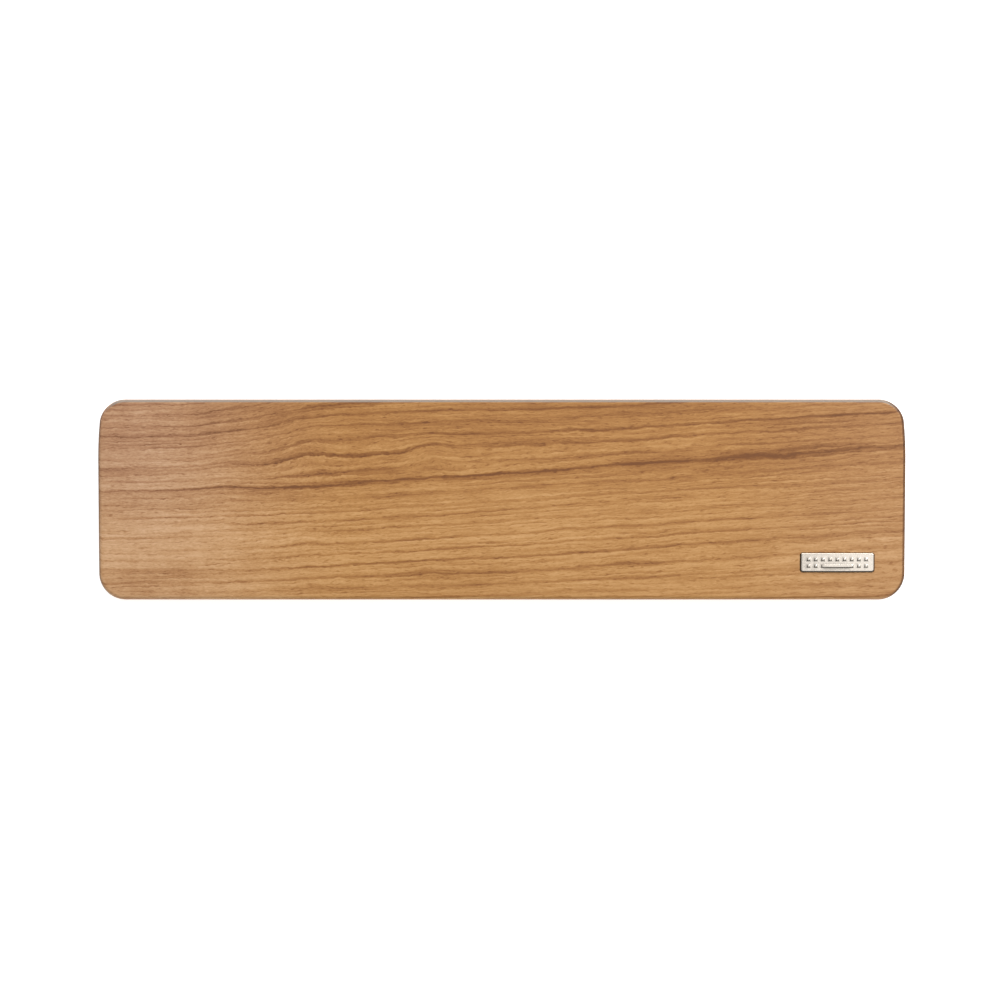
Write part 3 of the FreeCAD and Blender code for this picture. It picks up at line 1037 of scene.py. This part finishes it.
@dataclass
class Badge:
    """The cast plate in the front right corner, with a small generic keyboard raised on it."""

    crown: Crown
    underside: float
    place_x: float = 133.1 * MM
    place_y: float = -24.9 * MM
    length: float = 29.4 * MM
    width: float = 7.7 * MM
    thick: float = 1.2 * MM
    corner: float = 1.0 * MM
    edge_round: float = 0.6 * MM
    pillow: float = 0.2 * MM
    recess: float = 0.6 * MM
    clearance: float = 0.15 * MM
    film: float = 0.12 * MM
    key_size: float = 1.6 * MM
    key_raise: float = 0.25 * MM
    key_pitch: float = 2.85 * MM
    key_row_offset: float = 1.3 * MM
    key_flank: float = 0.38 * MM
    key_corner: float = 0.3 * MM
    key_round: float = 0.08 * MM
    key_count: int = 9
    end_keys: int = 2
    corner_segments: int = 8
    edge_segments: int = 4
    key_corner_segments: int = 3
    key_round_segments: int = 2
    smooth_angle: float = 40.0

    def seat(self, above_floor: float) -> Matrix:
        """Find a place on the badge's axis.

        Args:
            above_floor: its height above the recess's floor.

        Returns:
            The place, tilted as the board's top is there.
        """
        tilt = self.crown.tilt(self.place_y)
        surface = Vector((self.place_x, self.place_y, self.underside + self.crown.height(self.place_y)))
        turn = Matrix.Rotation(tilt, 4, "X")
        sink = turn @ Vector((0.0, 0.0, above_floor - self.recess))
        return Matrix.Translation(surface + sink) @ turn

    def recess_cutter(self) -> Workpiece:
        """Model the block that the recess is milled by.

        Returns:
            The block, in its place.
        """
        half = Vector((self.length / 2 + self.clearance, self.width / 2 + self.clearance, 0.0))
        top = half + Vector((0.0, 0.0, self.recess * 3))
        piece = Workpiece.block("recess", -half, top)
        piece.round_edges(upright, self.corner + self.clearance, self.corner_segments)
        piece.move(self.seat(0.0))
        return piece

    def build(self) -> Workpiece:
        """Model the badge.

        Returns:
            The finished piece.
        """
        half = Vector((self.length / 2, self.width / 2, 0.0))
        piece = Workpiece.block("badge", -half, half + Vector((0.0, 0.0, self.thick)))
        piece.round_edges(upright, self.corner, self.corner_segments)
        piece.round_edges(lambda edge: between_faces(edge, 1.0), self.edge_round, self.edge_segments)
        self.raise_keys(piece)
        self.shape_pillow(piece)
        piece.smooth(self.smooth_angle)
        piece.move(self.seat(self.film))
        piece.dress(PolishedBadgeMetal(), "polished_badge_metal", "badge_plate")
        return piece

    def key_spans(self) -> Iterator[tuple[float, float, float]]:
        """Lay out the keys of the motif.

        Yields:
            Each key's left end, its right end and its row's middle.
        """
        half = self.key_size / 2
        first = -(self.key_count - 1) / 2 * self.key_pitch
        middles = [first + self.key_pitch * index for index in range(self.key_count)]
        for middle in middles:
            yield middle - half, middle + half, self.key_row_offset
        for middle in middles[:self.end_keys] + middles[-self.end_keys:]:
            yield middle - half, middle + half, -self.key_row_offset
        bar = middles[self.end_keys:-self.end_keys]
        yield bar[0] - half, bar[-1] + half, -self.key_row_offset

    def raise_keys(self, piece: Workpiece) -> None:
        """Score the face along every key's sides, and raise the keys from it.

        Args:
            piece: the badge.
        """
        half = self.key_size / 2
        spans = list(self.key_spans())
        inside = self.length / 2 - self.corner
        columns = sorted({round(x, 7) for left, right, _ in spans for x in (left, right)} | {-inside, inside})
        rows = [sign * self.key_row_offset + side * half for sign in (-1, 1) for side in (-1, 1)]
        for column in columns:
            piece.slice(Vector((column, 0.0, 0.0)), Vector((1.0, 0.0, 0.0)))
        for row in rows:
            piece.slice(Vector((0.0, row, 0.0)), Vector((0.0, 1.0, 0.0)))

        def on_key(face: bmesh.types.BMFace) -> bool:
            """Tell whether a face of the top lies on a key.

            Args:
                face: the face.

            Returns:
                True if it does.
            """
            middle = face.calc_center_median()
            if face.normal.z < FACING or middle.z < self.thick - SAME_PLACE:
                return False
            return any(left < middle.x < right and abs(middle.y - row) < half
                       for left, right, row in spans)

        piece.raise_faces(on_key, self.key_flank, self.key_raise)
        top = self.thick + self.key_raise

        def key_corner(edge: bmesh.types.BMEdge) -> bool:
            """Tell whether an edge runs down a key's corner, between two flanks."""
            heights = sorted(vertex.co.z for vertex in edge.verts)
            return heights[0] < top - SAME_PLACE < heights[1] and edge.calc_face_angle(0.0) > CREASE

        def key_rim(edge: bmesh.types.BMEdge) -> bool:
            """Tell whether an edge lies between a key's top and its flank."""
            return (min(vertex.co.z for vertex in edge.verts) > top - SAME_PLACE
                    and edge.calc_face_angle(0.0) > CREASE)

        piece.round_edges(key_corner, self.key_corner, self.key_corner_segments)
        piece.round_edges(key_rim, self.key_round, self.key_round_segments)

    def shape_pillow(self, piece: Workpiece) -> None:
        """Let the face fall away a little towards both ends, as polishing leaves it.

        Args:
            piece: the badge.
        """
        for row in piece.rows(0):
            fall = self.pillow * (2.0 * row / self.length) ** 2
            piece.shift(lambda vertex: in_row(vertex, row, 0) and vertex.co.z > self.thick / 2,
                        Vector((0.0, 0.0, -fall)))


@dataclass
class Feet:
    """Six round rubber feet under the board."""

    radius: float = 6.0 * MM
    height: float = 1.9 * MM
    edge_round: float = 0.5 * MM
    sides: int = 64
    sole_segments: int = 4
    back_segments: int = 2
    smooth_angle: float = 40.0
    names: tuple[str, ...] = ("front_left", "front_centre", "front_right",
                              "rear_left", "rear_centre", "rear_right")

    def places(self) -> list[Vector]:
        """Return where each foot stands on the desk."""
        return [self.place(name) for name in self.names]

    @staticmethod
    def place(name: str) -> Vector:
        """Return the middle of a foot's sole."""
        low, high = (Vector(corner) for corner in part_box(f"foot_{name}"))
        return Vector(((low.x + high.x) / 2, (low.y + high.y) / 2, low.z))

    def build(self) -> list[Workpiece]:
        """Model one foot, and copy it to each place.

        Returns:
            The finished feet.
        """
        pattern = Workpiece.rod("foot_pattern", Vector(), self.radius, self.height, self.sides)
        pattern.round_edges(lambda edge: between_faces(edge, -1.0), self.edge_round, self.sole_segments)
        pattern.round_edges(lambda edge: between_faces(edge, 1.0), self.edge_round / 3, self.back_segments)
        pattern.smooth(self.smooth_angle)
        pieces = []
        for name in self.names:
            piece = pattern.copy(f"foot_{name}_pad")
            piece.move(Matrix.Translation(self.place(name)))
            piece.dress(MouldedRubber(), "foot_rubber", f"foot_{name}")
            pieces.append(piece)
        bpy.data.objects.remove(pattern.object)
        return pieces


@dataclass(frozen=True)
class Adhesives:
    """The films and discs of adhesive, whose own shapes are right as they are."""

    prefixes: tuple[str, ...] = ("badge_adhesive", "foot_adhesive")

    def dress(self) -> list[str]:
        """Give each adhesive node its finish.

        Returns:
            The nodes' names.
        """
        names = [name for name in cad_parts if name.startswith(self.prefixes)]
        for name in names:
            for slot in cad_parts[name].material_slots:
                slot.material = AdhesiveFilm().material()
        return names


# --- The studio ---


@dataclass(frozen=True)
class Softbox:
    """A rectangular lamp that looks at the middle of the rest."""

    name: str
    place: tuple[float, float, float]
    width: float
    depth: float
    power: float

    def hang(self) -> None:
        """Hang the lamp, out of the camera's sight."""
        data = bpy.data.lights.new(self.name, "AREA")
        data.shape = "RECTANGLE"
        data.size = self.width
        data.size_y = self.depth
        data.energy = self.power
        lamp = bpy.data.objects.new(self.name, data)
        lamp.location = self.place
        lamp.rotation_euler = (-Vector(self.place)).to_track_quat("-Z", "Y").to_euler()
        lamp.visible_camera = False
        bpy.context.scene.collection.objects.link(lamp)


@dataclass(frozen=True)
class Studio:
    """A light table, soft lamps and a camera straight above the rest."""

    floor_size: float = 8.0
    dimmest: float = 0.30
    brightest: float = 0.82
    camera_height: float = 1.5
    camera_sight: float = 50.0
    sensor_width: float = 36.0  # millimetres, as the camera's own settings are
    frame_width: float = 396.7 * MM
    frame_level: float = 13.0 * MM
    camera_x: float = -0.74 * MM
    camera_y: float = -0.13 * MM
    lamps: tuple[Softbox, ...] = (
        Softbox("rear_strip", (0.1, 1.2, 0.75), 1.8, 0.8, 11.2),
        Softbox("key_softbox", (0.9, 0.7, 1.1), 0.6, 0.6, 9.5),
        Softbox("overhead_softbox", (0.75, -0.4, 1.7), 1.0, 1.2, 1.65),
    )

    def build(self) -> None:
        """Set up the floor, the light and the camera."""
        self.lay_floor()
        self.light()
        self.place_camera()
        bpy.context.scene.view_settings.view_transform = "Standard"

    def lay_floor(self) -> None:
        """Lay the floor at the level of the feet's soles."""
        deselect_all()
        bpy.ops.mesh.primitive_plane_add(size=self.floor_size, location=(0.0, 0.0, -SAME_PLACE))
        floor = bpy.context.active_object
        floor.name = "light_table"
        floor.data.materials.append(PaleFloor().material())

    def light(self) -> None:
        """Light the room from behind and the right, and hang the lamps."""
        world = bpy.data.worlds.new("studio")
        world.use_nodes = True
        bench = Bench(world.node_tree, "BACKGROUND")
        right, rear, up = bench.split(bench.node("ShaderNodeTexCoord", output="Generated"))
        toward_light = right * 0.45 + rear * 0.7 + up * 0.3
        bench.surface(Color=(1.0, 1.0, 1.0, 1.0), Strength=toward_light.over(-0.6, 0.9, self.dimmest, self.brightest))
        bpy.context.scene.world = world
        for lamp in self.lamps:
            lamp.hang()

    def place_camera(self) -> None:
        """Look straight down, with the keyboard's side at the top of the picture."""
        data = bpy.data.cameras.new("camera")
        data.sensor_width = self.sensor_width
        data.lens = self.sensor_width * (self.camera_height - self.frame_level) / self.frame_width
        data.clip_end = self.camera_sight
        camera = bpy.data.objects.new("camera", data)
        camera.location = (self.camera_x, self.camera_y, self.camera_height)
        bpy.context.scene.collection.objects.link(camera)
        bpy.context.scene.camera = camera


def main() -> None:
    """Build every piece in order, and report each one."""
    logging.basicConfig(level=logging.INFO, format="%(name)s: %(message)s")
    board, feet = Board(), Feet()
    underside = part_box("wooden_board")[0][2]
    badge = Badge(board.crown, underside)
    made = [board.build(badge, feet), badge.build(), *feet.build()]
    for piece in made:
        log.info("%s: %d faces", piece.object.name, len(piece.object.data.polygons))
    for name in Adhesives().dress():
        log.info("%s: dressed", name)
    Studio().build()


if __name__ == "__main__":
    main()
